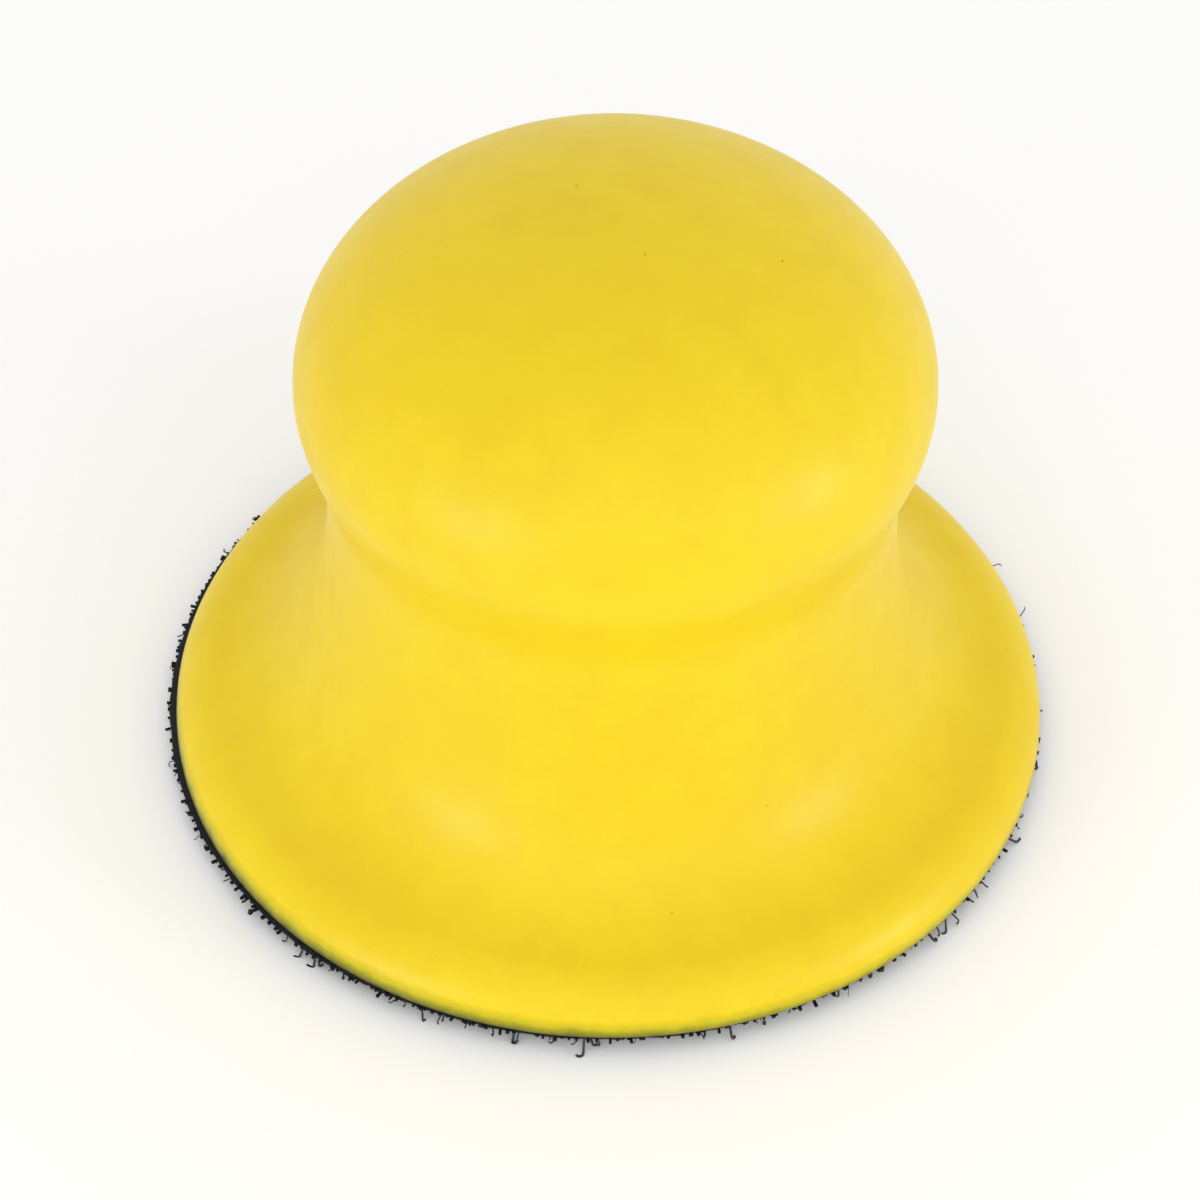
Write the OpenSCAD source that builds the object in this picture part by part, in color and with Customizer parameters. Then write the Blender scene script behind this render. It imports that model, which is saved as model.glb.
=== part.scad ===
// Round hand float for stick-on scouring pads: one soft foam moulding, which is
// a mushroom knob on a flared flange, with a disc of hook tape bonded under it.
// Millimetres, +Z up. The origin is the centre of the plane that the hook tips
// lie in, and the whole object turns about Z.

/* [Foam flange] */
// Diameter of the flange at its widest line
flange_d = 98; // [80:1:140]
// Width of the rounded lip, from the widest line to its highest line
lip_w = 7; // [3:0.5:9]
// Rise of the lip over its whole width
lip_rise = 5.8; // [2:0.1:9]
// How far the lip turns over before the flare starts, in degrees
lip_turn = 74; // [60:1:90]
// Radius that rounds the flange's edge under, below its widest line
under_r = 0.6; // [0.3:0.1:2.5]

/* [Foam waist and knob] */
// Diameter of the waist, its narrowest line
waist_d = 61.2; // [50:0.1:64]
// Height of the waist above the foam's flat base
waist_h = 35.8; // [28:0.1:50]
// Diameter of the knob at its widest line
knob_d = 67; // [66:0.5:84]
// Rise from the waist to the knob's widest line
belly_h = 13.1; // [8:0.1:20]
// Rise from the knob's widest line to its crown
crown_h = 22.2; // [14:0.1:32]

/* [Curves of the foam] */
// Roundness of the knob's side below its widest line, as a part of belly_h
knob_round = 0.34; // [0.1:0.01:0.5]
// Roundness of the waist on its upper side, as a part of belly_h
waist_round_up = 0.36; // [0.3:0.01:0.8]
// Roundness of the waist on its lower side, as a part of the flare's height
waist_round_down = 0.56; // [0.2:0.01:0.6]
// Roundness of the flare where it runs out, as a part of the flare's width
flare_round = 0.76; // [0.3:0.01:0.9]

/* [Hook disc] */
// How far the disc of hook tape stands out past the flange's widest line
disc_overhang = 0.2; // [-0.8:0.1:2]
// Height of the hooks
hook_h = 1.5; // [1:0.1:3]
// Thickness of the woven ground that the hooks stand in
weave_t = 0.4; // [0.3:0.05:1]
// Thickness of the resin coat that locks the weave
coat_t = 0.1; // [0.05:0.05:0.5]
// Thickness of the adhesive film between the coat and the foam
film_t = 0.1; // [0.05:0.05:0.5]
// How far the adhesive film stays back from the edge of the foam's flat base
film_inset = 0.5; // [0.3:0.1:2]
// How far the outer row of hooks stands back from the edge of the disc
hook_inset = 0.3; // [0:0.1:2]

/* [Hidden] */

// Number of points on each curve of the foam's outline
curve_steps = 16;
// Smoothness of the flat discs
$fn = 180;

// The layers, from the hook tips up
weave_z = hook_h;
coat_z = weave_z + weave_t;
film_z = coat_z + coat_t;
foam_z = film_z + film_t;

// Radii and heights of the foam's main lines
rim_r = flange_d / 2;
base_r = rim_r - under_r;
rim_z = foam_z + under_r;
lip_c = [rim_r - lip_w, rim_z];
foot = lip_c + [lip_w * cos(lip_turn), lip_rise * sin(lip_turn)];
foot_slope = lip_rise / (lip_w * tan(lip_turn));
waist_r = waist_d / 2;
waist_z = foam_z + waist_h;
knob_r = knob_d / 2;
knob_z = waist_z + belly_h;
flare_h = waist_z - foot[1];
flare_w = foot[0] - waist_r;
foot_handle = flare_round * flare_w * [-1, foot_slope];

// Radius of the disc of hook tape
disc_r = rim_r + disc_overhang;

// Points of a quarter ellipse about centre c, from angle a0 to angle a1
function arc(c, rx, rz, a0, a1) =
    [for (i = [0:curve_steps])
        let (a = a0 + (a1 - a0) * i / curve_steps)
        [c[0] + rx * cos(a), c[1] + rz * sin(a)]];

// Points of a cubic curve with end points p0 and p3, and handles p1 and p2
function cubic(p0, p1, p2, p3) =
    [for (i = [1:curve_steps - 1])
        let (t = i / curve_steps, u = 1 - t)
        u * u * u * p0 + 3 * u * u * t * p1 + 3 * u * t * t * p2 + t * t * t * p3];

// Half outline of the foam: base, rounded edge, lip, flare, waist, knob, crown
foam_outline = concat(
    [[0, foam_z]],
    arc([base_r, rim_z], under_r, under_r, -90, 0),
    [for (p = arc(lip_c, lip_w, lip_rise, 0, lip_turn)) if (p[1] > rim_z) p],
    cubic(foot, foot + foot_handle, [waist_r, waist_z - waist_round_down * flare_h],
          [waist_r, waist_z]),
    [[waist_r, waist_z]],
    cubic([waist_r, waist_z], [waist_r, waist_z + waist_round_up * belly_h],
          [knob_r, knob_z - knob_round * belly_h], [knob_r, knob_z]),
    [for (p = arc([0, knob_z], knob_r, crown_h, 0, 90)) if (p[0] > 0.001) p],
    [[0, knob_z + crown_h]]);

// A flat disc of radius r and thickness t with its lower face at height z
module layer(r, z, t) {
    translate([0, 0, z])
        cylinder(r = r, h = t);
}

// The whole yellow moulding: flange, waist and knob in one piece of foam
module foam_body() {
    color([0.97, 0.81, 0.17])
        rotate_extrude()
            polygon(foam_outline);
}

// Adhesive that bonds the hook tape to the foam's flat base
module adhesive_film() {
    color([0.30, 0.26, 0.16])
        layer(base_r - film_inset, film_z, film_t);
}

// Resin on the back of the tape, which locks the hooks and the cut edge
module resin_coat() {
    color([0.10, 0.10, 0.11])
        layer(disc_r, coat_z, coat_t);
}

// Woven ground of the hook tape
module hook_weave() {
    color([0.06, 0.06, 0.07])
        layer(disc_r, weave_z, weave_t);
}

// Space that the hooks fill, down to the plane of their tips
module hook_pile() {
    color([0.03, 0.03, 0.04])
        layer(disc_r - hook_inset, 0, hook_h);
}

foam_body();
adhesive_film();
resin_coat();
hook_weave();
hook_pile();
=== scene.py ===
"""Looks of a round hand float that holds stick-on scouring pads.

A mushroom knob on a flared flange, moulded in one piece of soft yellow foam,
stands on a disc of black woven hook tape. The disc is bonded to the foam, and
its hooks point down to the pad or the table.
"""

import logging
import math
from dataclasses import dataclass, field
from enum import Enum

import bmesh
import bpy
import numpy as np
from mathutils import Matrix, Vector, noise


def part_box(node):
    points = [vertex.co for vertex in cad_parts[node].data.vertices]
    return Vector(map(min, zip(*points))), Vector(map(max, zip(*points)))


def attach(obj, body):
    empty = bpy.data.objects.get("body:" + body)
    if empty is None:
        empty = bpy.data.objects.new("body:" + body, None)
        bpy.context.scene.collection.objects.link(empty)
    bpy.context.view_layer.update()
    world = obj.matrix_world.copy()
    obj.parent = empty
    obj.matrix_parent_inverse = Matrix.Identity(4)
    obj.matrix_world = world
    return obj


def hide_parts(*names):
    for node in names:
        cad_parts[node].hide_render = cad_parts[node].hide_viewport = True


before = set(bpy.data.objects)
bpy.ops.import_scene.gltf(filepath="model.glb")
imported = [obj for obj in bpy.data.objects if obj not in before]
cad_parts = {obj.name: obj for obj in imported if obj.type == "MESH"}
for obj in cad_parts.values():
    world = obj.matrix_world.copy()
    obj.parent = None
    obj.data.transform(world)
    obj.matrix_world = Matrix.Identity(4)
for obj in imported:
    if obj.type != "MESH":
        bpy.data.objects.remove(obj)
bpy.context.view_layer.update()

MM = 0.001
BODY = "root"
log = logging.getLogger("hand_float")

Socket = bpy.types.NodeSocket
Tree = bpy.types.NodeTree
Node = bpy.types.Node
Piece = bpy.types.Object
Points = list[tuple[float, float]]
Colour = tuple[float, float, float, float]


# ---------------------------------------------------------------- nodes

def add_node(tree: Tree, kind: str, inputs: dict | None = None, **settings: object) -> Node:
    """Adds one node with its settings, its values and its links.

    Args:
        tree: The shader or geometry tree that gets the node.
        kind: The node's type, such as "ShaderNodeBump".
        inputs: Input name or number to a value, or to the output it links from.
        **settings: The node's own properties, such as operation="ADD".

    Returns:
        The new node.
    """
    node = tree.nodes.new(kind)
    for name, value in settings.items():
        setattr(node, name, value)
    for key, value in (inputs or {}).items():
        if isinstance(value, Socket):
            tree.links.new(value, node.inputs[key])
        else:
            node.inputs[key].default_value = value
    return node


def calc(tree: Tree, operation: str, *values: float | Socket) -> Socket:
    """Adds one sum, such as "MULTIPLY" or "SINE", and returns its result."""
    return add_node(tree, "ShaderNodeMath", dict(enumerate(values)), operation=operation).outputs[0]


def vector(tree: Tree, **axes: float | Socket) -> Socket:
    """Joins x, y and z into one vector. An axis that isn't given is 0."""
    return add_node(tree, "ShaderNodeCombineXYZ", {k.upper(): v for k, v in axes.items()}).outputs[0]


def ramp(tree: Tree, value: Socket, start: float = 0.0, end: float = 1.0,
         low: float | Socket = 0.0, high: float | Socket = 1.0) -> Socket:
    """Stretches one span of a value to another, and holds it at both ends.

    Args:
        tree: The tree that uses it.
        value: The value to stretch.
        start: Where its span starts.
        end: Where its span ends.
        low: The result at the start.
        high: The result at the end.

    Returns:
        The stretched value.
    """
    return add_node(tree, "ShaderNodeMapRange", {
        "Value": value, "From Min": start, "From Max": end, "To Min": low, "To Max": high}).outputs[0]


def tint(tree: Tree, amount: Socket, under: Colour | Socket, over: Colour | Socket) -> Socket:
    """Lays one colour over another, by an amount from 0 to 1."""
    return add_node(tree, "ShaderNodeMix", {0: amount, 6: under, 7: over}, data_type="RGBA").outputs[2]


def patches(tree: Tree, place: Socket, size: float, detail: float, roughness: float = 0.5) -> Socket:
    """Makes soft random patches, from 0 to 1.

    Args:
        tree: The tree that uses them.
        place: The Object coordinates, in metres.
        size: How big one patch is, in millimetres.
        detail: How many finer layers lie in each patch.
        roughness: How strong the finer layers are.

    Returns:
        The patches' value.
    """
    return add_node(tree, "ShaderNodeTexNoise", {
        "Vector": place, "Scale": per_mm(size), "Detail": detail, "Roughness": roughness}).outputs["Fac"]


def bumps(tree: Tree, height: Socket, strength: float, distance: float,
          normal: Socket | None = None, invert: bool = False) -> Socket:
    """Turns a height into relief.

    Args:
        tree: The material's tree.
        height: The height, from 0 to 1.
        strength: How much of the relief shows.
        distance: How high it is, in millimetres.
        normal: The relief that this one lies on.
        invert: Whether the relief goes in.

    Returns:
        The bumped normal.
    """
    inputs = {"Height": height, "Strength": strength, "Distance": distance * MM}
    if normal:
        inputs["Normal"] = normal
    return add_node(tree, "ShaderNodeBump", inputs, invert=invert).outputs[0]


def per_mm(size: float) -> float:
    """The texture scale at which one cell of a pattern is that many millimetres."""
    return 1 / (size * MM)


def srgb(code: str) -> Colour:
    """Turns an sRGB hex colour into a linear one.

    Args:
        code: The colour as "#rrggbb".

    Returns:
        Linear red, green and blue, and an alpha of 1.
    """
    parts = (int(code[i:i + 2], 16) / 255 for i in (1, 3, 5))
    linear = (v / 12.92 if v <= 0.04045 else ((v + 0.055) / 1.055) ** 2.4 for v in parts)
    return (*linear, 1.0)


# ---------------------------------------------------------------- finishes

class Finish:
    """A procedural material. Each finish dresses the tree in its own way."""

    name = "finish"

    def build(self) -> bpy.types.Material:
        """Makes the material, or returns the one made before."""
        known = bpy.data.materials.get(self.name)
        if known:
            return known
        material = bpy.data.materials.new(self.name)
        material.use_nodes = True
        tree = material.node_tree
        tree.nodes.clear()
        shader = add_node(tree, "ShaderNodeBsdfPrincipled")
        add_node(tree, "ShaderNodeOutputMaterial", {"Surface": shader.outputs["BSDF"]})
        place = add_node(tree, "ShaderNodeTexCoord").outputs["Object"]
        self.dress(tree, shader, place)
        return material

    def dress(self, tree: Tree, shader: Node, place: Socket) -> None:
        """Sets the shader's values and links its patterns.

        Args:
            tree: The material's tree.
            shader: Its Principled shader.
            place: The Object coordinates, in metres.
        """
        raise NotImplementedError


@dataclass(frozen=True)
class MouldedFoamSkin(Finish):
    """Integral-skin polyurethane foam, moulded in a polished tool.

    The eye sees an even, slightly waxy yellow with a satin-matte skin, a fine
    leathery micro-texture, scattered pinholes left by gas, a few dark specks,
    and pale edges where the skin is seen at a flat angle. Its lowest edge is
    darkened with painted shade, where the foam meets the black disc.
    """

    name: str = "integral_skin_foam"
    body: str = "#e4c80b"
    deep: str = "#dfc007"
    speck: str = "#7d6416"
    # The next two colours are painted shade on the lowest edge: a soft olive band and a dark line below
    # it.
    shade_olive: str = "#b2a800"
    shade_dark: str = "#1d2408"
    cloud_mm: float = 38.0
    mottle_mm: float = 5.0
    pit_mm: float = 1.5
    grain_mm: float = 0.32
    speck_mm: float = 3.4
    clear_of_specks: float = 0.86
    clear_of_pits: float = 0.72
    # Heights of the two bands of painted shade; the tilt lets the shade reach higher towards -X.
    shade_olive_span: tuple[float, float] = (3.3, 4.7)
    shade_dark_span: tuple[float, float] = (2.25, 3.6)
    shade_tilt: float = 0.014

    def dress(self, tree: Tree, shader: Node, place: Socket) -> None:
        """Links the colour, the painted shade on the lowest edge, the grain and the pinholes."""
        shader.inputs["IOR"].default_value = 1.37
        shader.inputs["Sheen Weight"].default_value = 0.02
        shader.inputs["Sheen Roughness"].default_value = 0.45
        shader.inputs["Sheen Tint"].default_value = srgb("#fff6d8")
        cloud = patches(tree, place, self.cloud_mm, detail=2.0)
        mottle = patches(tree, place, self.mottle_mm, detail=4.0, roughness=0.6)
        blend = calc(tree, "ADD", cloud, mottle)
        amount = ramp(tree, blend, start=0.75, end=1.25)
        base = tint(tree, amount, srgb(self.body), srgb(self.deep))
        specked = self.specks(tree, place, base)
        # The lowest edge gets painted shade, where the foam meets the black disc.
        tree.links.new(self.painted_edge_shade(tree, place, specked), shader.inputs["Base Color"])
        gloss = ramp(tree, mottle, low=0.36, high=0.46)
        tree.links.new(gloss, shader.inputs["Roughness"])
        tree.links.new(self.relief(tree, place), shader.inputs["Normal"])

    def specks(self, tree: Tree, place: Socket, under: Socket) -> Socket:
        """Scatters dark specks of dust over the colour.

        Args:
            tree: The material's tree.
            place: The Object coordinates.
            under: The colour under the specks.

        Returns:
            The colour with the specks.
        """
        cells = add_node(tree, "ShaderNodeTexVoronoi", {
            "Vector": place, "Scale": per_mm(self.speck_mm), "Randomness": 1.0})
        chosen = add_node(tree, "ShaderNodeSeparateColor", {0: cells.outputs["Color"]})
        rare = calc(tree, "GREATER_THAN", chosen.outputs[0], self.clear_of_specks)
        dot = ramp(tree, cells.outputs["Distance"], start=0.025, end=0.055, low=0.75, high=0.0)
        mask = calc(tree, "MULTIPLY", rare, dot)
        return tint(tree, mask, under, srgb(self.speck))

    def painted_edge_shade(self, tree: Tree, place: Socket, under: Socket) -> Socket:
        """Paints shade on the lowest edge, where the foam meets the black disc.

        Args:
            tree: The material's tree.
            place: The Object coordinates.
            under: The colour above the painted shade.

        Returns:
            The colour with the painted shade on its edge.
        """
        height = add_node(tree, "ShaderNodeSeparateXYZ", {0: place})
        patchy = patches(tree, place, 2.2, detail=4.0, roughness=0.65)
        tilted = calc(tree, "MULTIPLY_ADD", height.outputs["X"], self.shade_tilt, height.outputs["Z"])
        uneven = 1.2
        offset = calc(tree, "MULTIPLY_ADD", patchy, uneven * MM, tilted)
        colour = under
        # Two bands of painted shade: a soft olive one, then a dark line at the very bottom.
        for code, (low, high), most in ((self.shade_olive, self.shade_olive_span, 1.0),
                                        (self.shade_dark, self.shade_dark_span, 0.85)):
            mask = ramp(tree, offset, start=(low + uneven / 2) * MM, end=(high + uneven / 2) * MM,
                        low=most, high=0.0)
            colour = tint(tree, mask, colour, srgb(code))
        return colour

    def relief(self, tree: Tree, place: Socket) -> Socket:
        """Makes the skin's grain and pinholes.

        Args:
            tree: The material's tree.
            place: The Object coordinates.

        Returns:
            The bumped normal.
        """
        grain = patches(tree, place, self.grain_mm, detail=2.0)
        swell = patches(tree, place, self.mottle_mm, detail=3.0)
        cells = add_node(tree, "ShaderNodeTexVoronoi", {
            "Vector": place, "Scale": per_mm(self.pit_mm), "Randomness": 1.0})
        chosen = add_node(tree, "ShaderNodeSeparateColor", {0: cells.outputs["Color"]})
        rare = calc(tree, "GREATER_THAN", chosen.outputs[1], self.clear_of_pits)
        hole = ramp(tree, cells.outputs["Distance"], start=0.02, end=0.12, low=1.0, high=0.0)
        pits = calc(tree, "MULTIPLY", rare, hole)
        low = bumps(tree, swell, strength=0.05, distance=0.5)
        fine = bumps(tree, grain, strength=0.12, distance=0.06, normal=low)
        return bumps(tree, pits, strength=0.5, distance=0.05, normal=fine, invert=True)


@dataclass(frozen=True)
class NylonFilament(Finish):
    """Extruded nylon monofilament, cut and heat-set into hooks.

    The eye sees blue-black threads with a soft highlight along each one, and
    a few that are greyed by dust.
    """

    name: str = "nylon_monofilament"
    dark: str = "#0e0f14"
    dusty: str = "#2c2e35"
    patch_mm: float = 2.5

    def dress(self, tree: Tree, shader: Node, place: Socket) -> None:
        """Links the dust over the black and the gloss."""
        shader.inputs["IOR"].default_value = 1.53
        dust = patches(tree, place, self.patch_mm, detail=3.0)
        amount = ramp(tree, dust, start=0.5, end=0.75, high=0.7)
        mix = tint(tree, amount, srgb(self.dark), srgb(self.dusty))
        tree.links.new(mix, shader.inputs["Base Color"])
        gloss = ramp(tree, dust, low=0.28, high=0.55)
        tree.links.new(gloss, shader.inputs["Roughness"])
        draw = patches(tree, place, 0.15, detail=1.0)
        bump = bumps(tree, draw, strength=0.15, distance=0.02)
        tree.links.new(bump, shader.inputs["Normal"])


@dataclass(frozen=True)
class WovenNylon(Finish):
    """Tightly woven multifilament nylon, the ground of the hook tape.

    The eye sees a dull black cloth with a square over-and-under weave. The
    real threads are about 0.45 mm apart and are drawn a little coarser here,
    so that they show from a hand's distance.
    """

    name: str = "woven_nylon"
    dark: str = "#0b0c0e"
    light: str = "#1f2024"
    thread_mm: float = 0.6

    def dress(self, tree: Tree, shader: Node, place: Socket) -> None:
        """Links the weave to the colour and the bump."""
        shader.inputs["Roughness"].default_value = 0.85
        shader.inputs["Specular IOR Level"].default_value = 0.3
        axes = add_node(tree, "ShaderNodeSeparateXYZ", {0: place})
        turn = math.pi / (self.thread_mm * MM)
        waves = []
        for axis in ("X", "Y"):
            phase = calc(tree, "MULTIPLY", axes.outputs[axis], turn)
            waves.append(calc(tree, "SINE", phase))
        cross = calc(tree, "MULTIPLY", *waves)
        height = ramp(tree, cross, start=-1.0)
        fuzz = patches(tree, place, 0.25, detail=3.0)
        amount = calc(tree, "MULTIPLY", height, fuzz)
        mix = tint(tree, amount, srgb(self.dark), srgb(self.light))
        tree.links.new(mix, shader.inputs["Base Color"])
        weave = bumps(tree, height, strength=0.8, distance=0.12)
        fibre = bumps(tree, fuzz, strength=0.4, distance=0.04, normal=weave)
        tree.links.new(fibre, shader.inputs["Normal"])


@dataclass(frozen=True)
class DriedResin(Finish):
    """Resin rolled on the back of the tape, and glue that has cured.

    The eye sees an uneven, slightly shiny film with brush-like lumps.
    """

    name: str = "dried_resin"
    thin: str = "#08090a"
    thick: str = "#121411"
    rough: float = 0.62
    lump_mm: float = 1.1

    def dress(self, tree: Tree, shader: Node, place: Socket) -> None:
        """Links the film's uneven thickness."""
        shader.inputs["Specular IOR Level"].default_value = 0.22
        lumps = patches(tree, place, self.lump_mm, detail=4.0)
        mix = tint(tree, lumps, srgb(self.thin), srgb(self.thick))
        tree.links.new(mix, shader.inputs["Base Color"])
        gloss = ramp(tree, lumps, low=self.rough - 0.12, high=self.rough + 0.15)
        tree.links.new(gloss, shader.inputs["Roughness"])
        bump = bumps(tree, lumps, strength=0.5, distance=0.15)
        tree.links.new(bump, shader.inputs["Normal"])


@dataclass(frozen=True)
class PaintedBoard(Finish):
    """Smooth white board, the floor of the stage. The eye sees no texture."""

    name: str = "white_board"
    white: str = "#fbfbfb"

    def dress(self, tree: Tree, shader: Node, place: Socket) -> None:
        """Sets a plain matte white."""
        shader.inputs["Base Color"].default_value = srgb(self.white)
        shader.inputs["Roughness"].default_value = 0.9
        shader.inputs["Specular IOR Level"].default_value = 0.1


# ---------------------------------------------------------------- meshes

def new_piece(name: str, points: list, faces: list, finish: Finish, smooth: bool = True) -> Piece:
    """Makes a mesh object at the origin with its place in its mesh.

    Args:
        name: The piece's name.
        points: Its points, in metres.
        faces: Its faces, as lists of point numbers.
        finish: Its material.
        smooth: Whether its faces are shaded smooth.

    Returns:
        The new object, linked to the scene.
    """
    mesh = bpy.data.meshes.new(name)
    mesh.from_pydata([tuple(p) for p in points], [], faces)
    piece = bpy.data.objects.new(name, mesh)
    bpy.context.scene.collection.objects.link(piece)
    clean(mesh, smooth)
    mesh.materials.append(finish.build())
    return piece


def clean(mesh: bpy.types.Mesh, smooth: bool = True) -> None:
    """Merges points that lie in one place and turns every face outwards.

    Args:
        mesh: The mesh to clean.
        smooth: Whether its faces are shaded smooth.
    """
    work = bmesh.new()
    work.from_mesh(mesh)
    bmesh.ops.remove_doubles(work, verts=work.verts, dist=1e-4 * MM)
    bmesh.ops.recalc_face_normals(work, faces=work.faces)
    for face in work.faces:
        face.smooth = smooth
    work.to_mesh(mesh)
    work.free()


def revolve(outline: Points, sides: int) -> tuple[np.ndarray, list]:
    """Turns a half outline about Z into a closed surface.

    Args:
        outline: Radius and height of each point. The first and last lie on the axis.
        sides: How many points go round.

    Returns:
        The points and the faces.
    """
    angles = np.arange(sides) * 2 * math.pi / sides
    rings = [np.array([(r * math.cos(a), r * math.sin(a), z) for a in angles])
             for r, z in outline[1:-1]]
    points = [np.array([[0, 0, outline[0][1]]]), *rings, np.array([[0, 0, outline[-1][1]]])]
    last = 1 + sides * len(rings)
    faces = []
    for i in range(sides):
        j = (i + 1) % sides
        faces.append([0, 1 + j, 1 + i])
        for k in range(len(rings) - 1):
            a = 1 + k * sides
            b = a + sides
            faces.append([a + i, a + j, b + j, b + i])
        faces.append([last - sides + i, last - sides + j, last])
    return np.vstack(points), faces


def report(piece: Piece) -> None:
    """Logs a piece's name and how many triangles it has."""
    count = sum(len(p.vertices) - 2 for p in piece.data.polygons)
    log.info("%s: %d triangles", piece.name, count)


def settle(piece: Piece, slot: str, *nodes: str) -> Piece:
    """Hands a finished piece to the frame and reports it.

    Args:
        piece: The piece, final in its mesh.
        slot: The record's material slot; not used.
        *nodes: The CAD nodes that it stands for.

    Returns:
        The same piece.
    """
    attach(piece, BODY)
    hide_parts(*nodes)
    report(piece)
    return piece


# ---------------------------------------------------------------- foam body

def quarter(centre: tuple[float, float], wide: float, high: float,
            start: float, end: float, steps: int) -> Points:
    """Points of a quarter ellipse.

    Args:
        centre: Its radius and height.
        wide: The half axis across.
        high: The half axis up.
        start: The first angle, in degrees.
        end: The last angle, in degrees.
        steps: How many steps to take.

    Returns:
        The points, from start to end.
    """
    angles = [math.radians(start + (end - start) * i / steps) for i in range(steps + 1)]
    return [(centre[0] + wide * math.cos(a), centre[1] + high * math.sin(a)) for a in angles]


def cubic(p0: tuple, p1: tuple, p2: tuple, p3: tuple, steps: int) -> Points:
    """Inner points of a cubic curve.

    Args:
        p0: Its first point.
        p1: The handle of the first point.
        p2: The handle of the last point.
        p3: Its last point.
        steps: How many steps to take.

    Returns:
        The points between the first and the last.
    """
    found = []
    for i in range(1, steps):
        t = i / steps
        u = 1 - t
        shares = (u * u * u, 3 * u * u * t, 3 * u * t * t, t * t * t)
        found.append(tuple(sum(s * p[k] for s, p in zip(shares, (p0, p1, p2, p3))) for k in (0, 1)))
    return found


@dataclass
class FoamBody:
    """The yellow moulding: flange, waist and knob in one piece. Sizes in mm."""

    rim_r: float = 49.0
    lip_w: float = 7.0
    lip_rise: float = 5.8
    lip_turn: float = 74.0
    under_r: float = 0.6
    waist_r: float = 30.6
    waist_h: float = 35.8
    knob_r: float = 33.5
    belly_h: float = 13.1
    crown_h: float = 22.2
    knob_round: float = 0.34
    waist_round_up: float = 0.36
    waist_round_down: float = 0.56
    flare_round: float = 0.76
    sides: int = 300
    lean: float = 0.34
    lean_from: float = 8.0
    lean_over: float = 0.65
    swell: float = 0.04
    broad_swell: float = 26.0
    small_swell: float = 9.0
    small_share: float = 0.35
    finish: Finish = field(default_factory=MouldedFoamSkin)

    def outline(self) -> Points:
        """Half outline in mm: base, rounded edge, lip, flare, waist, knob, crown."""
        base_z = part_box("foam_body")[0].z / MM
        base_r = self.rim_r - self.under_r
        rim_z = base_z + self.under_r
        lip = (self.rim_r - self.lip_w, rim_z)
        lip_points = quarter(lip, self.lip_w, self.lip_rise, 0, self.lip_turn, steps=26)
        foot = lip_points[-1]
        slope = self.lip_rise / (self.lip_w * math.tan(math.radians(self.lip_turn)))
        waist = (self.waist_r, base_z + self.waist_h)
        reach = self.flare_round * (foot[0] - waist[0])
        knob = (self.knob_r, waist[1] + self.belly_h)
        points = [(0.0, base_z)]
        points += [(base_r * i / 8, base_z) for i in range(1, 8)]
        points += quarter((base_r, rim_z), self.under_r, self.under_r, -90, 0, steps=10)
        points += lip_points[1:]
        points += cubic(foot, (foot[0] - reach, foot[1] + slope * reach),
                        (waist[0], waist[1] - self.waist_round_down * (waist[1] - foot[1])),
                        waist, steps=36)
        points += [waist]
        points += cubic(waist, (waist[0], waist[1] + self.waist_round_up * self.belly_h),
                        (knob[0], knob[1] - self.knob_round * self.belly_h), knob, steps=22)
        points += quarter((0.0, knob[1]), self.knob_r, self.crown_h, 0, 90, steps=56)[:-1]
        points += [(0.0, knob[1] + self.crown_h)]
        return points

    def build(self) -> None:
        """Turns the outline, leans the knob a little and makes the skin swell."""
        points, faces = revolve(self.outline(), self.sides)
        height = points[:, 2].max()
        rise = np.clip((points[:, 2] - self.lean_from) / (self.lean_over * height), 0, 1)
        points[:, 0] += self.lean * rise * rise * (3 - 2 * rise)
        piece = new_piece("foam_body_skin", points * MM, faces, self.finish)
        self.mould(piece)
        settle(piece, "foam", "foam_body")

    def mould(self, piece: Piece) -> None:
        """Moves the skin in and out by hundredths, as foam shrinks in its mould."""
        vertices = piece.data.vertices
        flat = np.zeros(len(vertices) * 3)
        vertices.foreach_get("co", flat)
        points = flat.reshape(-1, 3)
        normals = np.array([v.normal for v in vertices])
        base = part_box("foam_body")[0].z + 0.5 * MM
        elsewhere = (7, 3, 1)
        for k, place in enumerate(points):
            if place[2] > base:
                broad = noise.noise(Vector(place * per_mm(self.broad_swell)))
                small = noise.noise(Vector(place * per_mm(self.small_swell) + elsewhere))
                points[k] = place + normals[k] * (broad + self.small_share * small) * self.swell * MM
        vertices.foreach_set("co", points.ravel())
        piece.data.update()


# ---------------------------------------------------------------- hook disc

@dataclass(frozen=True)
class Edge:
    """The cut edge of a disc: a circle that the scissors didn't quite follow."""

    radius: float
    wander: float = 0.16
    ragged: float = 0.10
    seed: float = 0.0
    slow_turn: float = 3.0
    quick_turn: float = 45.0

    def at(self, angle: float) -> tuple[float, float]:
        """Where the edge is, in mm, in that direction in radians."""
        across, up = math.cos(angle), math.sin(angle)
        slow = noise.noise(Vector((self.slow_turn * across, self.slow_turn * up, self.seed)))
        quick = noise.noise(Vector((self.quick_turn * across, self.quick_turn * up, self.seed + 5)))
        r = self.radius + self.wander * slow + self.ragged * quick
        return (r * across, r * up)


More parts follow.
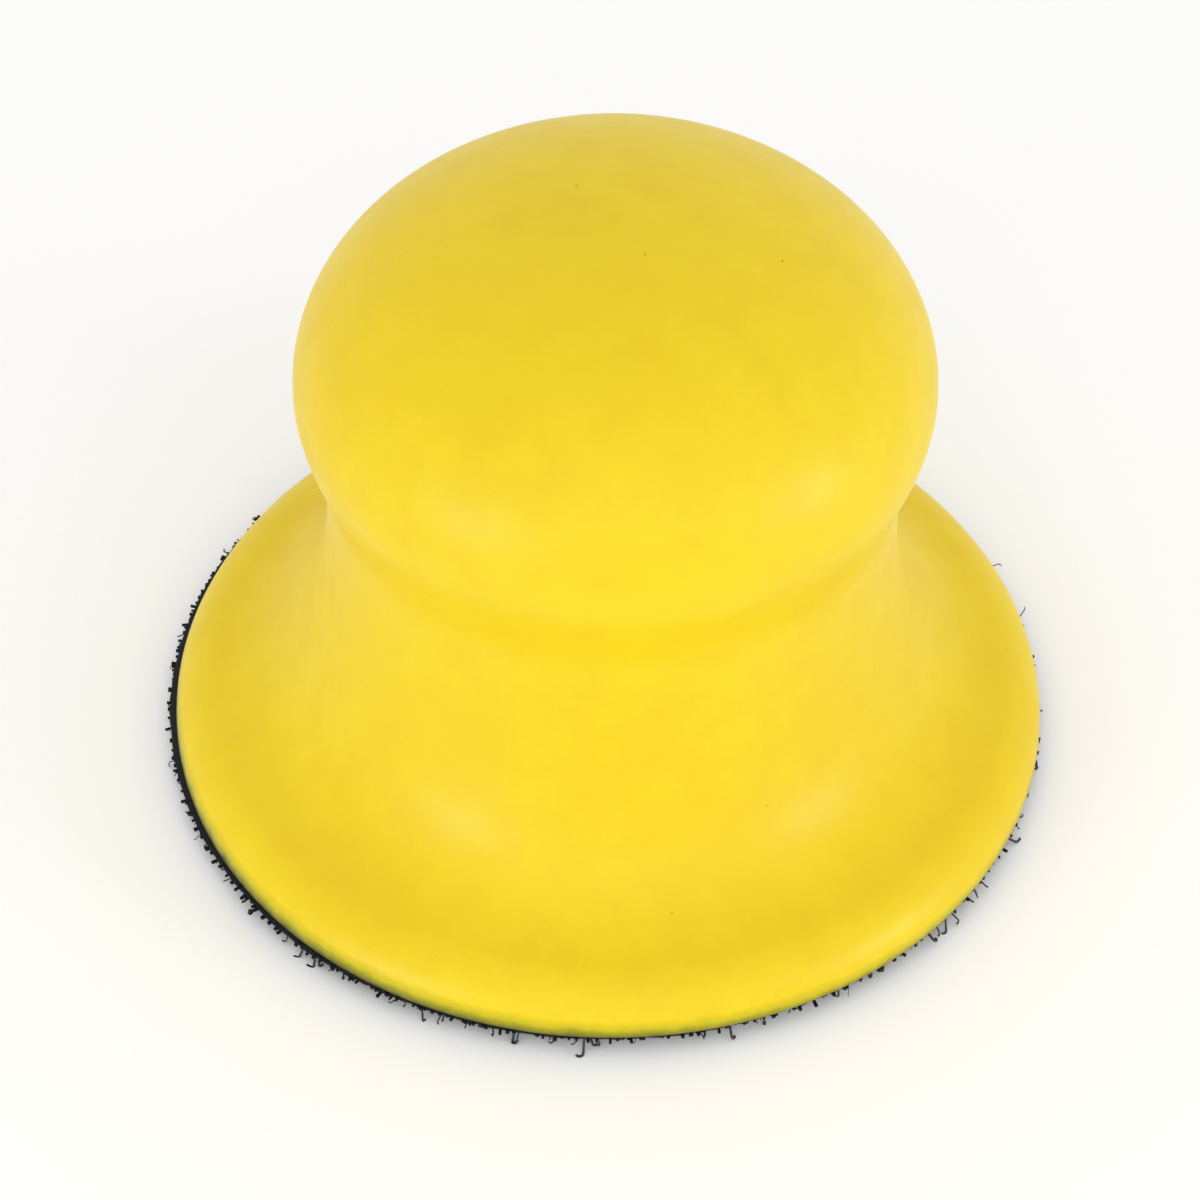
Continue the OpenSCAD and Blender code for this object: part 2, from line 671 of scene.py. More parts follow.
def ragged_disc(edge: Edge, low: float, high: float, sides: int = 720,
                rings: int = 14) -> tuple[np.ndarray, list]:
    """A flat disc of some thickness with a ragged cut edge.

    Args:
        edge: Its outline.
        low: Height of its lower face, in mm.
        high: Height of its upper face, in mm.
        sides: How many points go round.
        rings: How many rings each face has.

    Returns:
        The points, in mm, and the faces.
    """
    rim = np.array([edge.at(2 * math.pi * i / sides) for i in range(sides)])
    shares = [i / rings for i in range(1, rings + 1)]
    middle = np.column_stack([rim * (1 + 0.05 / edge.radius), np.full(sides, (low + high) / 2)])
    layers = [np.column_stack([rim * s, np.full(sides, low)]) for s in shares]
    layers += [middle]
    layers += [np.column_stack([rim * s, np.full(sides, high)]) for s in reversed(shares)]
    points = np.vstack([[[0, 0, low]], *layers, [[0, 0, high]]])
    last = len(points) - 1
    faces = []
    for i in range(sides):
        j = (i + 1) % sides
        faces.append([0, 1 + j, 1 + i])
        for k in range(len(layers) - 1):
            a = 1 + k * sides
            faces.append([a + i, a + j, a + sides + j, a + sides + i])
        faces.append([last - sides + i, last - sides + j, last])
    return points, faces


class Shape(Enum):
    """The small shapes that are scattered over the disc or round its edge."""

    HOOK = "hook_shape"
    THREAD = "thread_shape"
    YARN_END = "yarn_end_shape"


def new_tree(name: str, floats: dict[str, float], ints: dict[str, int] | None = None,
             material: bool = False) -> Tree:
    """Starts a geometry tree with named inputs and one geometry output.

    Args:
        name: The tree's name.
        floats: Names and defaults of its number inputs.
        ints: Names and defaults of its whole-number inputs.
        material: Whether it takes a material.

    Returns:
        The tree, with its input and output nodes named "in" and "out".
    """
    tree = bpy.data.node_groups.new(name, "GeometryNodeTree")
    sides = tree.interface
    sides.new_socket("Geometry", in_out="OUTPUT", socket_type="NodeSocketGeometry")
    sides.new_socket("Geometry", in_out="INPUT", socket_type="NodeSocketGeometry")
    for label, value in floats.items():
        sides.new_socket(label, in_out="INPUT", socket_type="NodeSocketFloat").default_value = value
    for label, value in (ints or {}).items():
        sides.new_socket(label, in_out="INPUT", socket_type="NodeSocketInt").default_value = value
    if material:
        sides.new_socket("Material", in_out="INPUT", socket_type="NodeSocketMaterial")
    add_node(tree, "NodeGroupInput", name="in")
    add_node(tree, "NodeGroupOutput", name="out")
    return tree


def tube(tree: Tree, curve: Socket, radius: Socket, sides: int) -> None:
    """Ends a shape's tree with a tube along its curve.

    Args:
        tree: The shape's tree.
        curve: The curve to follow.
        radius: The tube's radius.
        sides: How many sides it has.
    """
    ring = add_node(tree, "GeometryNodeCurvePrimitiveCircle", {"Resolution": sides, "Radius": radius})
    mesh = add_node(tree, "GeometryNodeCurveToMesh", {
        "Curve": curve, "Profile Curve": ring.outputs["Curve"], "Fill Caps": True})
    tree.links.new(mesh.outputs[0], tree.nodes["out"].inputs[0])


def stem(tree: Tree, rings: int) -> tuple[Socket, Socket]:
    """A straight curve with that many points, and the points' own numbers."""
    line = add_node(tree, "GeometryNodeCurvePrimitiveLine")
    curve = add_node(tree, "GeometryNodeResampleCurve", {"Curve": line.outputs[0], "Count": rings})
    index = add_node(tree, "GeometryNodeInputIndex")
    return curve.outputs[0], index.outputs[0]


def hook_shape() -> Tree:
    """The tree of one hook: a straight leg that turns over at the top."""
    rings = 8
    tree = new_tree(Shape.HOOK.value, {
        "Height": 1.5 * MM, "Bend Radius": 0.3 * MM, "Sweep": 3.4, "Filament Radius": 0.13 * MM,
        "Head": 1.0})
    given = tree.nodes["in"].outputs
    curve, index = stem(tree, rings)
    past = calc(tree, "SUBTRACT", index, 1.0)
    bend_step = calc(tree, "MAXIMUM", past, 0.0)
    share = calc(tree, "DIVIDE", bend_step, rings - 2.0)
    angle = calc(tree, "MULTIPLY", share, given["Sweep"])
    cosine = calc(tree, "COSINE", angle)
    sine = calc(tree, "SINE", angle)
    across = calc(tree, "SUBTRACT", 1.0, cosine)
    x = calc(tree, "MULTIPLY", across, given["Bend Radius"])
    above = calc(tree, "ADD", given["Bend Radius"], given["Filament Radius"])
    leg = calc(tree, "SUBTRACT", given["Height"], above)
    start = calc(tree, "MINIMUM", index, 1.0)
    foot = calc(tree, "MULTIPLY", start, leg)
    z = calc(tree, "MULTIPLY_ADD", sine, given["Bend Radius"], foot)
    point = vector(tree, x=x, z=z)
    bent = add_node(tree, "GeometryNodeSetPosition", {"Geometry": curve, "Position": point})
    width = ramp(tree, share, low=1.0, high=given["Head"])
    headed = add_node(tree, "GeometryNodeSetCurveRadius", {"Curve": bent.outputs[0], "Radius": width})
    tube(tree, headed.outputs[0], given["Filament Radius"], 5)
    return tree


def thread_shape() -> Tree:
    """The tree of one loose filament that curls away from the cut edge."""
    rings = 10
    tree = new_tree(Shape.THREAD.value, {
        "Height": 1.5 * MM, "Curl": 1.2 * MM, "Filament Radius": 0.06 * MM, "Phase": 0.0})
    given = tree.nodes["in"].outputs
    curve, index = stem(tree, rings)
    share = calc(tree, "DIVIDE", index, rings - 1.0)
    along = calc(tree, "MULTIPLY", share, given["Height"])
    spot = calc(tree, "MULTIPLY_ADD", share, 2.4, given["Phase"])
    drift = add_node(tree, "ShaderNodeTexNoise", {
        "W": spot, "Scale": 1.0, "Detail": 1.0}, noise_dimensions="1D")
    centred = add_node(tree, "ShaderNodeVectorMath", {
        0: drift.outputs["Color"], 1: (0.5, 0.5, 0.5)}, operation="SUBTRACT")
    reach = calc(tree, "MULTIPLY", share, given["Curl"])
    bend = add_node(tree, "ShaderNodeVectorMath", {
        0: centred.outputs[0], "Scale": reach}, operation="SCALE")
    straight = vector(tree, z=along)
    point = add_node(tree, "ShaderNodeVectorMath", {0: straight, 1: bend.outputs[0]}, operation="ADD")
    bent = add_node(tree, "GeometryNodeSetPosition", {"Geometry": curve, "Position": point.outputs[0]})
    tube(tree, bent.outputs[0], given["Filament Radius"], 4)
    return tree


def yarn_end_shape() -> Tree:
    """The tree of one cut yarn: a short stub that narrows at its end."""
    rings = 4
    tree = new_tree(Shape.YARN_END.value, {"Height": 1.2 * MM, "Filament Radius": 0.2 * MM})
    given = tree.nodes["in"].outputs
    curve, index = stem(tree, rings)
    share = calc(tree, "DIVIDE", index, rings - 1.0)
    along = calc(tree, "MULTIPLY", share, given["Height"])
    point = vector(tree, z=along)
    placed = add_node(tree, "GeometryNodeSetPosition", {"Geometry": curve, "Position": point})
    taper = calc(tree, "POWER", share, 4.0)
    width = ramp(tree, taper, low=1.0, high=0.5)
    narrowed = add_node(tree, "GeometryNodeSetCurveRadius", {
        "Curve": placed.outputs[0], "Radius": width})
    tube(tree, narrowed.outputs[0], given["Filament Radius"], 6)
    return tree


SHAPES = {Shape.HOOK: hook_shape, Shape.THREAD: thread_shape, Shape.YARN_END: yarn_end_shape}


def shape_tree(shape: Shape) -> Tree:
    """The tree of a small shape, made once."""
    return bpy.data.node_groups.get(shape.value) or SHAPES[shape]()


def variants(tree: Tree, shape: Shape, kinds: list[dict[str, float]]) -> Socket:
    """Several versions of one small shape, as instances to pick from.

    Args:
        tree: The tree that scatters them.
        shape: The small shape.
        kinds: Its input values, one set for each version.

    Returns:
        The socket that holds the instances.
    """
    gather = add_node(tree, "GeometryNodeGeometryToInstance")
    for values in kinds:
        one = add_node(tree, "GeometryNodeGroup", node_tree=shape_tree(shape))
        for label, value in values.items():
            one.inputs[label].default_value = value
        tree.links.new(one.outputs[0], gather.inputs[0])
    return gather.outputs[0]


def number(tree: Tree, low: float | Socket, high: float | Socket, seed: Socket, salt: int) -> Socket:
    """A random number for each point.

    Args:
        tree: The tree that uses it.
        low: The least it may be.
        high: The most it may be.
        seed: The tree's seed.
        salt: Makes this draw differ from the tree's others.

    Returns:
        The socket that holds the number.
    """
    own = calc(tree, "ADD", seed, float(salt))
    draw = add_node(tree, "FunctionNodeRandomValue", {2: low, 3: high, "Seed": own}, data_type="FLOAT")
    return draw.outputs[1]


def either_way(tree: Tree, most: Socket, seed: Socket, salt: int) -> Socket:
    """A random number for each point, which lies that far from 0 at most."""
    return number(tree, calc(tree, "SUBTRACT", 0.0, most), most, seed, salt)


def finish_scatter(tree: Tree, instances: Socket) -> None:
    """Ends a scatter: real geometry, with the material set."""
    real = add_node(tree, "GeometryNodeRealizeInstances", {"Geometry": instances})
    dressed = add_node(tree, "GeometryNodeSetMaterial", {
        "Geometry": real.outputs[0], "Material": tree.nodes["in"].outputs["Material"]})
    tree.links.new(dressed.outputs[0], tree.nodes["out"].inputs[0])


def field_tree(name: str, shape: Shape, kinds: list[dict[str, float]]) -> Tree:
    """The tree that stands hooks in rows over the disc's lower face.

    Args:
        name: The tree's name.
        shape: The small shape to stand there.
        kinds: The versions to pick from.

    Returns:
        The tree.
    """
    tree = new_tree(name, {"Disc Radius": 49 * MM, "Row Pitch": 1.7 * MM, "Hook Pitch": 1.5 * MM,
                           "Jitter": 0.15 * MM, "Root Height": 1.5 * MM, "Facing": 0.0},
                    {"Rows": 59, "Hooks Per Row": 67, "Parity": 0, "Seed": 1}, material=True)
    given = tree.nodes["in"].outputs
    seed = given["Seed"]
    most_swing = 0.45
    most_tilt = 0.16
    least_size = 0.86
    spans = []
    for count, pitch in (("Rows", "Row Pitch"), ("Hooks Per Row", "Hook Pitch")):
        gaps = calc(tree, "SUBTRACT", given[count], 1.0)
        spans.append(calc(tree, "MULTIPLY", gaps, given[pitch]))
    grid = add_node(tree, "GeometryNodeMeshGrid", {
        "Size X": spans[0], "Size Y": spans[1],
        "Vertices X": given["Rows"], "Vertices Y": given["Hooks Per Row"]})
    here = add_node(tree, "GeometryNodeInputPosition")
    split = add_node(tree, "ShaderNodeSeparateXYZ", {0: here.outputs[0]})
    row = calc(tree, "DIVIDE", split.outputs["X"], given["Row Pitch"])
    whole = calc(tree, "ROUND", row)
    odd = calc(tree, "FLOORED_MODULO", whole, 2.0)
    other = add_node(tree, "FunctionNodeCompare", {0: odd, 1: given["Parity"], "Epsilon": 0.1},
                     data_type="FLOAT", operation="NOT_EQUAL")
    kept = add_node(tree, "GeometryNodeDeleteGeometry", {
        "Geometry": grid.outputs["Mesh"], "Selection": other.outputs[0]}, domain="POINT")
    stagger = calc(tree, "MULTIPLY", given["Hook Pitch"], 0.5)
    shift_y = calc(tree, "MULTIPLY", stagger, given["Parity"])
    nudges = [either_way(tree, given["Jitter"], seed, salt) for salt in (11, 12)]
    y = calc(tree, "ADD", nudges[1], shift_y)
    offset = vector(tree, x=nudges[0], y=y, z=given["Root Height"])
    moved = add_node(tree, "GeometryNodeSetPosition", {"Geometry": kept.outputs[0], "Offset": offset})
    flat = add_node(tree, "ShaderNodeVectorMath", {0: here.outputs[0], 1: (1, 1, 0)},
                    operation="MULTIPLY")
    far = add_node(tree, "ShaderNodeVectorMath", {0: flat.outputs[0]}, operation="LENGTH")
    outside = add_node(tree, "FunctionNodeCompare", {
        0: far.outputs["Value"], 1: given["Disc Radius"]}, data_type="FLOAT", operation="GREATER_THAN")
    round_off = add_node(tree, "GeometryNodeDeleteGeometry", {
        "Geometry": moved.outputs[0], "Selection": outside.outputs[0]}, domain="POINT")
    pick = number(tree, 0.0, len(kinds) - 0.01, seed, 13)
    which = calc(tree, "FLOOR", pick)
    swing = number(tree, -most_swing, most_swing, seed, 14)
    yaw = calc(tree, "ADD", swing, given["Facing"])
    tilt_x = number(tree, math.pi - most_tilt, math.pi + most_tilt, seed, 15)
    tilt_y = number(tree, -most_tilt, most_tilt, seed, 16)
    turn = vector(tree, x=tilt_x, y=tilt_y, z=yaw)
    size = number(tree, least_size, 1.0, seed, 17)
    stand = add_node(tree, "GeometryNodeInstanceOnPoints", {
        "Points": round_off.outputs[0], "Instance": variants(tree, shape, kinds),
        "Pick Instance": True, "Instance Index": which, "Rotation": turn, "Scale": size})
    finish_scatter(tree, stand.outputs[0])
    return tree


def rim_tree(name: str, shape: Shape, kinds: list[dict[str, float]]) -> Tree:
    """The tree that sets small shapes round the disc's cut edge.

    Args:
        name: The tree's name.
        shape: The small shape to set there.
        kinds: The versions to pick from.

    Returns:
        The tree.
    """
    tree = new_tree(name, {
        "Rim Radius": 49.8 * MM, "Rim Jitter": 0.3 * MM, "Height": 1.6 * MM,
        "Height Jitter": 0.05 * MM, "Least Lean": 0.3, "Most Lean": 1.3, "Swing": 0.5,
        "Least Size": 0.8, "Most Size": 1.2, "Thin Spots": 1.0, "Clump Size": 4 * MM},
        {"Count": 200, "Seed": 1}, material=True)
    given = tree.nodes["in"].outputs
    seed = given["Seed"]
    most_step = 0.9
    sparse, dense = 0.42, 0.56
    circle = add_node(tree, "GeometryNodeMeshCircle", {"Vertices": given["Count"], "Radius": 1.0},
                      fill_type="NONE")
    index = add_node(tree, "GeometryNodeInputIndex")
    loose = calc(tree, "ADD", index.outputs[0], number(tree, -most_step, most_step, seed, 21))
    per = calc(tree, "DIVIDE", 2 * math.pi, given["Count"])
    angle = calc(tree, "MULTIPLY", loose, per)
    out = either_way(tree, given["Rim Jitter"], seed, 22)
    radius = calc(tree, "ADD", given["Rim Radius"], out)
    cosine = calc(tree, "COSINE", angle)
    sine = calc(tree, "SINE", angle)
    x = calc(tree, "MULTIPLY", cosine, radius)
    y = calc(tree, "MULTIPLY", sine, radius)
    up = either_way(tree, given["Height Jitter"], seed, 23)
    z = calc(tree, "ADD", given["Height"], up)
    point = vector(tree, x=x, y=y, z=z)
    placed = add_node(tree, "GeometryNodeSetPosition", {
        "Geometry": circle.outputs[0], "Position": point})
    lean = number(tree, given["Least Lean"], given["Most Lean"], seed, 24)
    outward = calc(tree, "SUBTRACT", 0.0, lean)
    swing = either_way(tree, given["Swing"], seed, 25)
    heading = calc(tree, "ADD", angle, swing)
    turn = vector(tree, x=math.pi, y=outward, z=heading)
    pick = number(tree, 0.0, len(kinds) - 0.01, seed, 26)
    which = calc(tree, "FLOOR", pick)
    size = number(tree, given["Least Size"], given["Most Size"], seed, 27)
    per_clump = calc(tree, "DIVIDE", 1.0, given["Clump Size"])
    clump = add_node(tree, "ShaderNodeTexNoise", {"Vector": point, "Scale": per_clump, "Detail": 1.0})
    share = ramp(tree, clump.outputs["Fac"], start=sparse, end=dense, low=given["Thin Spots"])
    grown = calc(tree, "MULTIPLY", size, share)
    stand = add_node(tree, "GeometryNodeInstanceOnPoints", {
        "Points": placed.outputs[0], "Instance": variants(tree, shape, kinds),
        "Pick Instance": True, "Instance Index": which, "Rotation": turn, "Scale": grown})
    roll = vector(tree, z=number(tree, -math.pi, math.pi, seed, 28))
    rolled = add_node(tree, "GeometryNodeRotateInstances", {
        "Instances": stand.outputs[0], "Rotation": roll, "Local Space": True})
    finish_scatter(tree, rolled.outputs[0])
    return tree


def ribs_tree(name: str) -> Tree:
    """The tree of the cords that stand out of the weave between two rows of hooks.

    Args:
        name: The tree's name.

    Returns:
        The tree.
    """
    tree = new_tree(name, {"Disc Radius": 49.6 * MM, "Row Pitch": 1.7 * MM, "Cord Radius": 0.22 * MM,
                           "Height": 1.5 * MM, "Waver": 0.12 * MM},
                    {"Rows": 58, "Steps": 30}, material=True)
    given = tree.nodes["in"].outputs
    gaps = calc(tree, "SUBTRACT", given["Rows"], 1.0)
    span = calc(tree, "MULTIPLY", gaps, given["Row Pitch"])
    half = calc(tree, "MULTIPLY", span, -0.5)
    first = vector(tree, x=half, z=given["Height"])
    step = vector(tree, x=given["Row Pitch"])
    rows = add_node(tree, "GeometryNodeMeshLine", {
        "Count": given["Rows"], "Start Location": first, "Offset": step})
    unit = add_node(tree, "GeometryNodeCurvePrimitiveLine", {
        "Start": (0.0, -1.0, 0.0), "End": (0.0, 1.0, 0.0)})
    fine = add_node(tree, "GeometryNodeResampleCurve", {
        "Curve": unit.outputs[0], "Count": given["Steps"]})
    ring = add_node(tree, "GeometryNodeCurvePrimitiveCircle", {
        "Resolution": 6, "Radius": given["Cord Radius"]})
    cord = add_node(tree, "GeometryNodeCurveToMesh", {
        "Curve": fine.outputs[0], "Profile Curve": ring.outputs[0], "Fill Caps": True})
    here = add_node(tree, "GeometryNodeInputPosition")
    across = add_node(tree, "ShaderNodeSeparateXYZ", {0: here.outputs[0]})
    square = calc(tree, "POWER", across.outputs["X"], 2.0)
    whole = calc(tree, "POWER", given["Disc Radius"], 2.0)
    rest = calc(tree, "SUBTRACT", whole, square)
    chord = calc(tree, "SQRT", rest)
    scale = vector(tree, x=1.0, y=chord, z=1.0)
    stand = add_node(tree, "GeometryNodeInstanceOnPoints", {
        "Points": rows.outputs[0], "Instance": cord.outputs[0], "Scale": scale})
    real = add_node(tree, "GeometryNodeRealizeInstances", {"Geometry": stand.outputs[0]})
    drift = add_node(tree, "ShaderNodeTexNoise", {
        "Vector": here.outputs[0], "Scale": per_mm(4.0), "Detail": 1.0})
    centred = add_node(tree, "ShaderNodeVectorMath", {
        0: drift.outputs["Color"], 1: (0.5, 0.5, 0.5)}, operation="SUBTRACT")
    bend = add_node(tree, "ShaderNodeVectorMath", {
        0: centred.outputs[0], "Scale": given["Waver"]}, operation="SCALE")
    wavy = add_node(tree, "GeometryNodeSetPosition", {
        "Geometry": real.outputs[0], "Offset": bend.outputs[0]})
    dressed = add_node(tree, "GeometryNodeSetMaterial", {
        "Geometry": wavy.outputs[0], "Material": given["Material"]})
    tree.links.new(dressed.outputs[0], tree.nodes["out"].inputs[0])
    return tree


def grow(name: str, tree: Tree, values: dict[str, float | int], finish: Finish) -> Piece:
    """Runs a geometry tree once and keeps its result as a plain mesh.

    Args:
        name: The piece's name.
        tree: The tree to run.
        values: The tree's inputs, by name.
        finish: The piece's material.

    Returns:
        The piece, with no modifier on it, and nothing below the floor.
    """
    holder = bpy.data.objects.new(name + "_holder", bpy.data.meshes.new(name + "_holder"))
    bpy.context.scene.collection.objects.link(holder)
    modifier = holder.modifiers.new("grow", "NODES")
    modifier.node_group = tree
    sockets = {s.name: s.identifier for s in tree.interface.items_tree if s.in_out == "INPUT"}
    for label, value in {**values, "Material": finish.build()}.items():
        modifier[sockets[label]] = value
    graph = bpy.context.evaluated_depsgraph_get()
    mesh = bpy.data.meshes.new_from_object(holder.evaluated_get(graph), depsgraph=graph)
    bpy.data.objects.remove(holder)
    mesh.name = name
    piece = bpy.data.objects.new(name, mesh)
    bpy.context.scene.collection.objects.link(piece)
    for vertex in mesh.vertices:
        vertex.co.z = max(vertex.co.z, 0.0)
    clean(mesh)
    return piece


@dataclass
class HookDisc:
    """The disc of hook tape and the film that bonds it to the foam. Sizes in mm."""

    row_pitch: float = 1.7
    hook_pitch: float = 1.5
    filament_r: float = 0.13
    glue_past: float = 0.15
    coat_past: float = 0.1
    weave_past: float = 0.15
    root_depth: float = 0.05
    field_inset: float = 0.7
    rib_inset: float = 0.5
    rib_lift: float = 0.02
    yarn_inset: float = 0.75
    fray_inset: float = 0.4
    edge_inset: float = 0.3
    edge_depth: float = 0.1
    rim_hooks: int = 190
    rim_threads: int = 34
    rim_yarns: int = 560
    off_centre: tuple[float, float] = (-0.5, 0.9)
    filament: Finish = field(default_factory=NylonFilament)
    cloth: Finish = field(default_factory=WovenNylon)
    resin: Finish = field(default_factory=DriedResin)
    glue: Finish = field(default_factory=lambda: DriedResin(
        name="cured_glue", thin="#3a3214", thick="#5a4c20", rough=0.42, lump_mm=1.6))

    def __post_init__(self) -> None:
        """Reads the layers' heights and the disc's radius from the frame."""
        low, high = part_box("hook_weave")
        self.radius = high.x / MM
        self.weave_low = low.z / MM
        self.weave_high = high.z / MM
        self.hook_h = self.weave_low + self.root_depth

    def hook_kinds(self) -> list[dict[str, float]]:
        """The hooks differ in how far the heat has turned them over."""
        bends = ((0.24, 3.5), (0.30, 3.3), (0.36, 2.9), (0.28, 3.9), (0.34, 2.3))
        return [{"Height": self.hook_h * MM, "Bend Radius": bend * MM, "Sweep": sweep,
                 "Filament Radius": self.filament_r * MM} for bend, sweep in bends]

    def build(self) -> None:
        """Makes every layer from the glue down to the hooks."""
        glue = self.layer("adhesive_film_bead", "adhesive_film", self.glue,
                          Edge(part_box("adhesive_film")[1].x / MM + self.glue_past,
                               wander=0.25, ragged=0.2, seed=9.0))
        settle(glue, "adhesive", "adhesive_film")
        coat = self.layer("resin_coat_back", "resin_coat", self.resin,
                          Edge(self.radius + self.coat_past, ragged=0.14, seed=2.0))
        settle(coat, "hook_backing", "resin_coat")
        weave = self.layer("hook_weave_ground", "hook_weave", self.cloth,
                           Edge(self.radius + self.weave_past, wander=0.2, ragged=0.16))
        trim = [self.ribs(), self.yarn_ends(), self.threads()]
        hooks = [self.hooks("left", 0, math.pi), self.hooks("right", 1, 0.0), self.edge_hooks()]
        for piece in (coat, weave, *trim, *hooks):
            piece.data.transform(Matrix.Translation(Vector((*self.off_centre, 0)) * MM))
        settle(weave, "hook_cloth", "hook_weave")

    def layer(self, name: str, node: str, finish: Finish, edge: Edge) -> Piece:
        """Makes one flat layer between the heights of its CAD node.

        Args:
            name: The piece's name.
            node: The CAD node.
            finish: Its material.
            edge: Its outline.

        Returns:
            The piece.
        """
        low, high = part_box(node)
        points, faces = ragged_disc(edge, low.z / MM, high.z / MM)
        return new_piece(name, points * MM, faces, finish)

    def ribs(self) -> Piece:
        """Makes the cords of the weave that run between the rows of hooks."""
        piece = grow("hook_weave_ribs", ribs_tree("weave_ribs"), {
            "Disc Radius": (self.radius - self.rib_inset) * MM, "Row Pitch": self.row_pitch * MM,
            "Height": (self.weave_low + self.rib_lift) * MM}, self.cloth)
        return settle(piece, "hook_cloth", "hook_weave")

    def yarn_ends(self) -> Piece:
        """Makes the cut yarns that stick out of the weave's edge."""
        kinds = [{"Height": h * MM, "Filament Radius": r * MM}
                 for h, r in ((1.1, 0.2), (1.35, 0.17), (0.9, 0.22))]
        piece = grow("hook_weave_yarn_ends", rim_tree("yarn_ends", Shape.YARN_END, kinds), {
            "Rim Radius": (self.radius - self.yarn_inset) * MM, "Rim Jitter": 0.16 * MM,
            "Height": (self.weave_low + self.weave_high) / 2 * MM, "Height Jitter": 0.1 * MM,
            "Least Lean": 1.4, "Most Lean": 1.7, "Swing": 0.25, "Count": self.rim_yarns,
            "Seed": 5}, self.cloth)
        return settle(piece, "hook_cloth", "hook_weave")

    def threads(self) -> Piece:
        """Makes the loose filaments that fray from the weave's edge."""
        kinds = [{"Height": (1.1 + 0.2 * k) * MM, "Curl": (1.0 + 0.3 * k) * MM, "Phase": 3.7 * k}
                 for k in range(6)]
        piece = grow("hook_weave_fray", rim_tree("fray", Shape.THREAD, kinds), {
            "Rim Radius": (self.radius - self.fray_inset) * MM, "Height": self.weave_low * MM,
            "Least Lean": 0.7, "Most Lean": 2.0, "Swing": 1.0, "Least Size": 0.6,
            "Most Size": 1.2, "Count": self.rim_threads, "Seed": 8}, self.filament)
        return settle(piece, "hook_cloth", "hook_weave")

    def hooks(self, side: str, parity: int, facing: float) -> Piece:
        """Makes every second row of hooks, which all face one way.

        Args:
            side: The side that they face, for the name.
            parity: 0 for the even rows and 1 for the odd ones.
            facing: The direction that they face, in radians.

        Returns:
            The piece.
        """
        tree = field_tree(f"hooks_{side}", Shape.HOOK, self.hook_kinds())
        piece = grow(f"hook_pile_{side}", tree, {
            "Disc Radius": (self.radius - self.field_inset) * MM, "Row Pitch": self.row_pitch * MM,
            "Hook Pitch": self.hook_pitch * MM, "Root Height": self.hook_h * MM,
            "Facing": facing, "Parity": parity, "Seed": 31 + parity}, self.filament)
        return settle(piece, "hooks", "hook_pile")

    def edge_hooks(self) -> Piece:
        """Makes the hooks that splay out round the cut edge."""
        bends = ((1.7, 0.24, 3.4, 1.0), (1.5, 0.28, 3.0, 1.05), (1.9, 0.36, 2.5, 0.9),
                 (2.3, 0.42, 2.0, 1.0), (1.3, 0.20, 4.4, 1.15))
        kinds = [{"Height": high * MM, "Bend Radius": bend * MM, "Sweep": sweep, "Head": 1.55,
                  "Filament Radius": thick * self.filament_r * MM}
                 for high, bend, sweep, thick in bends]
        piece = grow("hook_pile_edge", rim_tree("edge_hooks", Shape.HOOK, kinds), {
            "Rim Radius": (self.radius - self.edge_inset) * MM, "Rim Jitter": 0.35 * MM,
            "Height": (self.weave_low + self.edge_depth) * MM, "Least Lean": 0.3, "Most Lean": 1.45,
            "Swing": 0.7, "Least Size": 0.6, "Most Size": 1.2, "Thin Spots": 0.45,
            "Clump Size": 4.5 * MM, "Count": self.rim_hooks, "Seed": 12}, self.filament)
        return settle(piece, "hooks", "hook_pile")


# ---------------------------------------------------------------- stage

@dataclass(frozen=True)
class SoftBox:
    """One soft light. Angles in degrees, the rest in metres."""

    name: str
    around: float
    above: float
    away: float
    wide: float
    high: float
    power: float
    aim_z: float = 0.03

    def build(self) -> None:
        """Makes the light and turns it to the object."""
        light = bpy.data.lights.new(self.name, "AREA")
        light.shape = "RECTANGLE"
        light.size = self.wide
        light.size_y = self.high
        light.energy = self.power
        lamp = bpy.data.objects.new(self.name, light)
        bpy.context.scene.collection.objects.link(lamp)
        around, above = math.radians(self.around), math.radians(self.above)
        towards = Vector((math.sin(around) * math.cos(above),
                          -math.cos(around) * math.cos(above), math.sin(above)))
        lamp.location = Vector((0, 0, self.aim_z)) + towards * self.away
        lamp.rotation_euler = towards.to_track_quat("Z", "Y").to_euler()


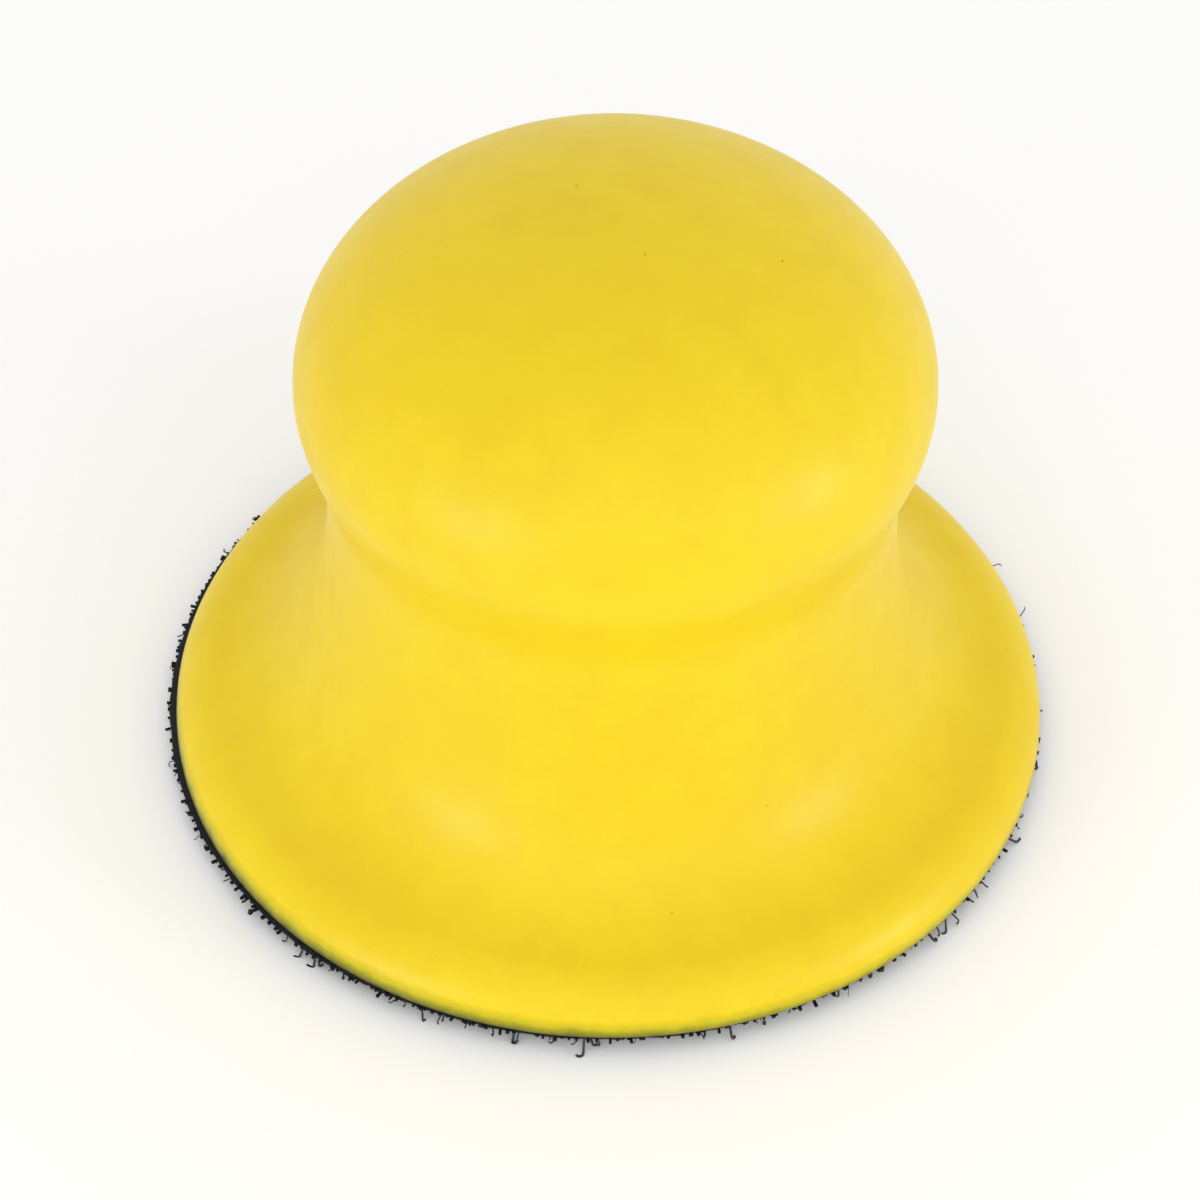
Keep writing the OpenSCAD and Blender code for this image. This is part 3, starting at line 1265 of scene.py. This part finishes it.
@dataclass
class Studio:
    """Floor, lights and camera. Angles in degrees, distances in mm."""

    elevation: float = 46.07
    roll: float = 0.55
    distance: float = 400.0
    slide_right: float = -0.93
    slide_up: float = 12.30
    aim_z: float = -0.3
    lens: float = 104.74
    floor_size: float = 4000.0
    sky: float = 0.94
    lights: tuple[SoftBox, ...] = (
        SoftBox("front_left_box", -44, 4, 0.75, 0.20, 0.16, 1.15),
        SoftBox("front_right_box", 64, 7, 0.75, 0.20, 0.16, 1.2),
        SoftBox("front_fill_box", 6, 27, 1.2, 1.40, 0.90, 2.0),
    )

    def build(self) -> None:
        """Makes the whole stage."""
        self.camera()
        self.floor()
        self.world()
        for box in self.lights:
            box.build()
        view = bpy.context.scene.view_settings
        view.view_transform = "Standard"
        view.look = "None"

    def camera(self) -> None:
        """Sets the camera by its elevation, roll and slide across its own view."""
        up_angle, roll = math.radians(self.elevation), math.radians(self.roll)
        right = Vector((1, 0, 0))
        up = Vector((0, math.sin(up_angle), math.cos(up_angle)))
        back = Vector((0, -math.cos(up_angle), math.sin(up_angle)))
        across = right * math.cos(roll) + up * math.sin(roll)
        upright = up * math.cos(roll) - right * math.sin(roll)
        place = across * self.slide_right + upright * self.slide_up + back * self.distance
        place.z += self.aim_z
        data = bpy.data.cameras.new("camera")
        data.lens = self.lens
        data.sensor_width = 36.0
        data.clip_start = 0.01
        camera = bpy.data.objects.new("camera", data)
        bpy.context.scene.collection.objects.link(camera)
        turn = Matrix((across, upright, back)).transposed().to_4x4()
        camera.matrix_world = Matrix.Translation(place * MM) @ turn
        bpy.context.scene.camera = camera

    def floor(self) -> None:
        """Lays a plain white floor."""
        half = self.floor_size / 2 * MM
        corners = [(-half, -half, 0), (half, -half, 0), (half, half, 0), (-half, half, 0)]
        floor = new_piece("floor", corners, [[0, 1, 2, 3]], PaintedBoard(), smooth=False)

    def world(self) -> None:
        """Lights the whole scene evenly."""
        world = bpy.data.worlds.new("white_room")
        world.use_nodes = True
        background = world.node_tree.nodes["Background"]
        background.inputs["Color"].default_value = (1, 1, 1, 1)
        background.inputs["Strength"].default_value = self.sky
        bpy.context.scene.world = world


def main() -> None:
    """Builds the stage and the float, piece by piece."""
    logging.basicConfig(level=logging.INFO, format="%(name)s: %(message)s")
    Studio().build()
    FoamBody().build()
    HookDisc().build()


if __name__ == "__main__":
    main()
